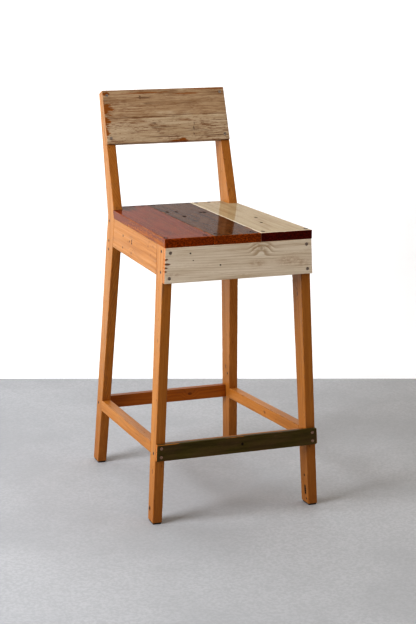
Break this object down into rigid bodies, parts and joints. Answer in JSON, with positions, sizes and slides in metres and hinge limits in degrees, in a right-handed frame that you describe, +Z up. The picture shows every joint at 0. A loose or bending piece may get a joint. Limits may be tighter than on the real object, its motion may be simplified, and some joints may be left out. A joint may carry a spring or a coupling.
{
  "type": "bar stool with footrest",
  "caption": "Reclaimed-plank counter stool with splayed pine legs, painted plank seat, low backrest board and a painted footrest strip.",
  "frame": {"origin": "centre of the bounding box at floor level", "axes": "+Z up, -Y towards the front of the stool, where the footrest is, +X towards the right side seen from the front"},
  "size_m": [0.4024, 0.5404, 0.9262],
  "materials": {
    "pine_legs": "oiled orange-brown pine with fine grain and small knots",
    "pine_rails": "oiled natural pine with old nail holes",
    "inner_pine": "darker oiled pine",
    "red_brown_paint": "worn red-brown paint under gloss lacquer",
    "grey_brown_paint": "worn grey-brown paint under gloss lacquer",
    "cream_seat_paint": "worn cream paint under gloss lacquer",
    "cream_wash": "thin cream paint with the grain, a knot and brown stains showing through",
    "taupe_paint": "weathered taupe paint worn through to brown wood along the grain",
    "olive_paint": "dark olive paint with scratches and worn edges",
    "steel_screws": "aged dull steel",
    "copper_screws": "aged copper-toned steel",
    "dowel_wood": "plain beech",
    "black_glide": "matt black"
  },
  "bodies": {
    "root": {"front_left_leg": "pine_legs", "front_right_leg": "pine_legs", "back_left_leg": "pine_legs", "back_right_leg": "pine_legs", "left_side_rail": "pine_rails", "right_side_rail": "pine_rails", "front_rail": "inner_pine", "back_rail": "inner_pine", "front_apron_board": "cream_wash", "left_side_stretcher": "pine_rails", "right_side_stretcher": "pine_rails", "front_stretcher": "pine_rails", "back_stretcher": "pine_rails", "footrest_strip": "olive_paint", "seat_plank_left": "red_brown_paint", "seat_plank_middle": "grey_brown_paint", "seat_plank_right": "cream_seat_paint", "backrest_board": "taupe_paint", "front_left_glide": "black_glide", "front_right_glide": "black_glide", "back_left_glide": "black_glide", "back_right_glide": "black_glide", "backrest_screws": "steel_screws", "apron_screws": "steel_screws", "footrest_screws": "copper_screws", "front_rail_screws": "steel_screws", "back_rail_screws": "steel_screws", "seat_edge_screws": "steel_screws", "front_stretcher_screws": "steel_screws", "back_stretcher_screws": "steel_screws", "seat_nails": "steel_screws", "side_rail_dowels": "dowel_wood", "side_stretcher_dowels": "dowel_wood", "glide_nails": "steel_screws"}
  },
  "joints": []
}
